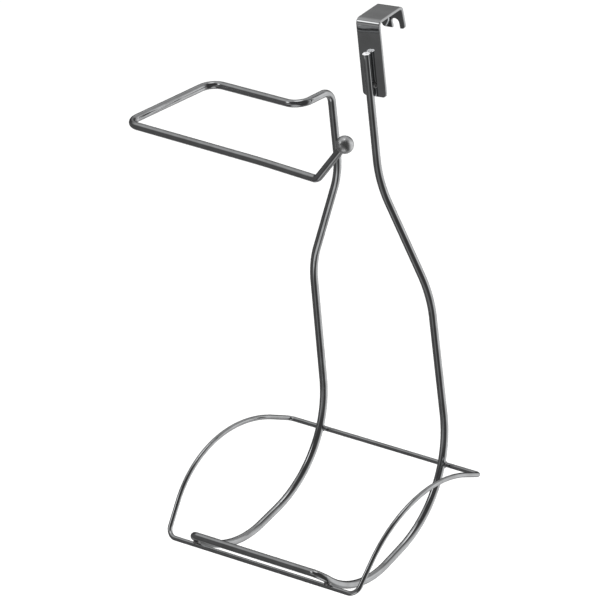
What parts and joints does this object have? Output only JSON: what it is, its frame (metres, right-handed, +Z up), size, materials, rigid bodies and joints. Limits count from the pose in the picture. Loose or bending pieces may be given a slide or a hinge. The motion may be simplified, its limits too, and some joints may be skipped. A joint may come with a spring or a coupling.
{
  "type": "toilet paper holder",
  "caption": "Chromed wire holder hooked over a cistern wall, with an open dispenser arm and a cradle basket for a spare roll.",
  "frame": {"origin": "middle of the underside of the hook's top plate, where it rests on the cistern wall", "axes": "+Z up, -Y forward towards the user, +X to the user's right; the uprights stand in a plane of constant Y and the arm and crossbar run along X"},
  "size_m": [0.1575, 0.131, 0.2724],
  "materials": {
    "hook_bracket": "mirror chrome plate on flat steel strip",
    "frame_wire": "mirror chrome plate on steel wire",
    "tip_ball": "mirror chrome plate on a turned steel ball",
    "basket_wire": "mirror chrome plate on thin steel wire",
    "hook_welds": "plated weld bead, duller than the wire",
    "rail_welds": "plated weld bead, duller than the wire"
  },
  "bodies": {
    "root": {"hook_bracket": "hook_bracket", "frame_wire": "frame_wire", "tip_ball": "tip_ball", "basket_wire": "basket_wire", "hook_welds": "hook_welds", "rail_welds": "rail_welds"}
  },
  "joints": []
}
